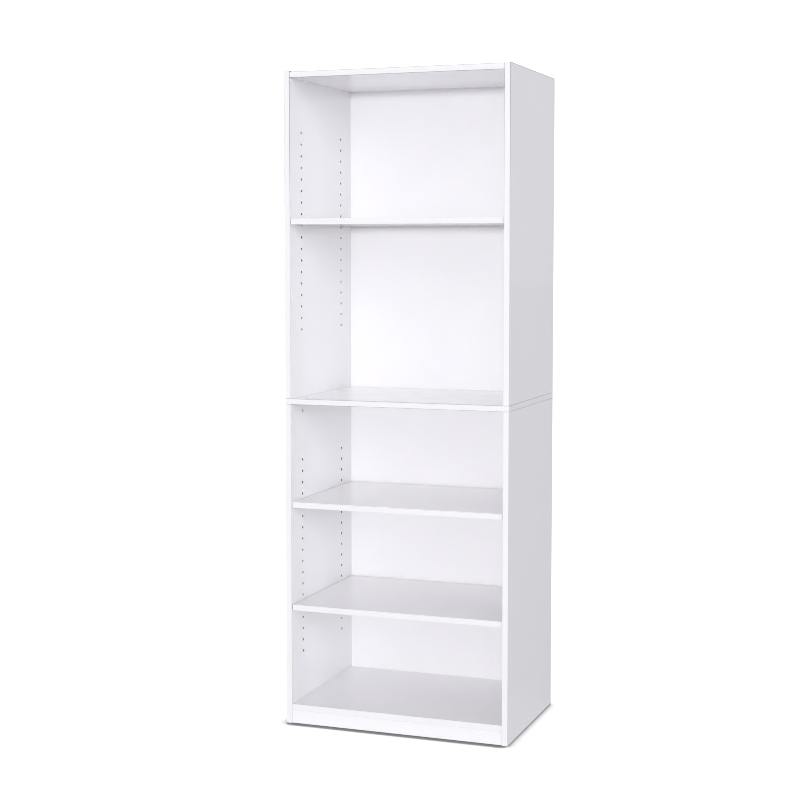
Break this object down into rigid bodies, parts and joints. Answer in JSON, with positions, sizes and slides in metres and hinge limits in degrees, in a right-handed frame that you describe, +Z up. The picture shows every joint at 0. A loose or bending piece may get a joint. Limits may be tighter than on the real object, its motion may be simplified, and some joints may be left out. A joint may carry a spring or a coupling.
{
  "type": "bookcase",
  "caption": "Tall free-standing bookcase in two stacked cases, with a fixed middle shelf and adjustable shelves on push-in pins between drilled side panels.",
  "frame": {"origin": "on the floor, under the middle of the outer box", "axes": "+X to the right seen from the front, +Y to the back, +Z up"},
  "size_m": [0.641, 0.448, 1.803],
  "materials": {
    "white_melamine_board": "satin white melamine on particle board",
    "white_edge_band": "satin white edge strip",
    "white_hardboard": "white painted front, brown back",
    "pin_steel": "bright nickel plate",
    "cam_zinc": "die-cast zinc",
    "zinc_plated_steel": "bright zinc plate",
    "nail_steel": "plain bright steel",
    "beech": "raw turned beech"
  },
  "bodies": {
    "carcass": {"back_nails_lower": "nail_steel", "back_nails_upper": "nail_steel", "back_panel_lower": "white_hardboard", "back_panel_upper": "white_hardboard", "bottom_shelf": "white_melamine_board", "bottom_shelf_band": "white_edge_band", "cam_bolts_bottom": "zinc_plated_steel", "cam_bolts_kick": "zinc_plated_steel", "cam_bolts_middle": "zinc_plated_steel", "cam_bolts_top": "zinc_plated_steel", "cam_locks_bottom": "cam_zinc", "cam_locks_kick": "cam_zinc", "cam_locks_middle": "cam_zinc", "cam_locks_top": "cam_zinc", "dowels_bottom": "beech", "dowels_kick": "beech", "dowels_lower_case": "beech", "dowels_top": "beech", "dowels_upper_case": "beech", "joining_screws": "zinc_plated_steel", "kick_plate": "white_melamine_board", "lower_side_band_left": "white_edge_band", "lower_side_band_right": "white_edge_band", "lower_side_left": "white_melamine_board", "lower_side_right": "white_melamine_board", "middle_end_band_left": "white_edge_band", "middle_end_band_right": "white_edge_band", "middle_shelf": "white_melamine_board", "middle_shelf_band": "white_edge_band", "top_panel": "white_melamine_board", "top_panel_band": "white_edge_band", "upper_side_band_left": "white_edge_band", "upper_side_band_right": "white_edge_band", "upper_side_left": "white_melamine_board", "upper_side_right": "white_melamine_board", "upper_side_top_band_left": "white_edge_band", "upper_side_top_band_right": "white_edge_band"},
    "shelf_top": {"adjustable_shelf_top": "white_melamine_board", "shelf_band_top": "white_edge_band"},
    "shelf_mid": {"adjustable_shelf_mid": "white_melamine_board", "shelf_band_mid": "white_edge_band"},
    "shelf_low": {"adjustable_shelf_low": "white_melamine_board", "shelf_band_low": "white_edge_band"},
    "pin_low_back_left_body": {"pin_low_back_left": "pin_steel"},
    "pin_low_back_right_body": {"pin_low_back_right": "pin_steel"},
    "pin_low_front_left_body": {"pin_low_front_left": "pin_steel"},
    "pin_low_front_right_body": {"pin_low_front_right": "pin_steel"},
    "pin_mid_back_left_body": {"pin_mid_back_left": "pin_steel"},
    "pin_mid_back_right_body": {"pin_mid_back_right": "pin_steel"},
    "pin_mid_front_left_body": {"pin_mid_front_left": "pin_steel"},
    "pin_mid_front_right_body": {"pin_mid_front_right": "pin_steel"},
    "pin_top_back_left_body": {"pin_top_back_left": "pin_steel"},
    "pin_top_back_right_body": {"pin_top_back_right": "pin_steel"},
    "pin_top_front_left_body": {"pin_top_front_left": "pin_steel"},
    "pin_top_front_right_body": {"pin_top_front_right": "pin_steel"}
  },
  "joints": [
    {"name": "shelf_top_lift", "type": "slide", "parent": "carcass", "child": "shelf_top", "axis": [0, 0, 1], "range_m": [0, 0.256]},
    {"name": "shelf_mid_lift", "type": "slide", "parent": "carcass", "child": "shelf_mid", "axis": [0, 0, 1], "range_m": [0, 0.128]},
    {"name": "shelf_low_lift", "type": "slide", "parent": "carcass", "child": "shelf_low", "axis": [0, 0, 1], "range_m": [0, 0.256]},
    {"name": "pin_low_back_left_pull", "type": "slide", "parent": "carcass", "child": "pin_low_back_left_body", "axis": [1, 0, 0], "range_m": [0, 0.01]},
    {"name": "pin_low_back_right_pull", "type": "slide", "parent": "carcass", "child": "pin_low_back_right_body", "axis": [-1, 0, 0], "range_m": [0, 0.01]},
    {"name": "pin_low_front_left_pull", "type": "slide", "parent": "carcass", "child": "pin_low_front_left_body", "axis": [1, 0, 0], "range_m": [0, 0.01]},
    {"name": "pin_low_front_right_pull", "type": "slide", "parent": "carcass", "child": "pin_low_front_right_body", "axis": [-1, 0, 0], "range_m": [0, 0.01]},
    {"name": "pin_mid_back_left_pull", "type": "slide", "parent": "carcass", "child": "pin_mid_back_left_body", "axis": [1, 0, 0], "range_m": [0, 0.01]},
    {"name": "pin_mid_back_right_pull", "type": "slide", "parent": "carcass", "child": "pin_mid_back_right_body", "axis": [-1, 0, 0], "range_m": [0, 0.01]},
    {"name": "pin_mid_front_left_pull", "type": "slide", "parent": "carcass", "child": "pin_mid_front_left_body", "axis": [1, 0, 0], "range_m": [0, 0.01]},
    {"name": "pin_mid_front_right_pull", "type": "slide", "parent": "carcass", "child": "pin_mid_front_right_body", "axis": [-1, 0, 0], "range_m": [0, 0.01]},
    {"name": "pin_top_back_left_pull", "type": "slide", "parent": "carcass", "child": "pin_top_back_left_body", "axis": [1, 0, 0], "range_m": [0, 0.01]},
    {"name": "pin_top_back_right_pull", "type": "slide", "parent": "carcass", "child": "pin_top_back_right_body", "axis": [-1, 0, 0], "range_m": [0, 0.01]},
    {"name": "pin_top_front_left_pull", "type": "slide", "parent": "carcass", "child": "pin_top_front_left_body", "axis": [1, 0, 0], "range_m": [0, 0.01]},
    {"name": "pin_top_front_right_pull", "type": "slide", "parent": "carcass", "child": "pin_top_front_right_body", "axis": [-1, 0, 0], "range_m": [0, 0.01]}
  ]
}
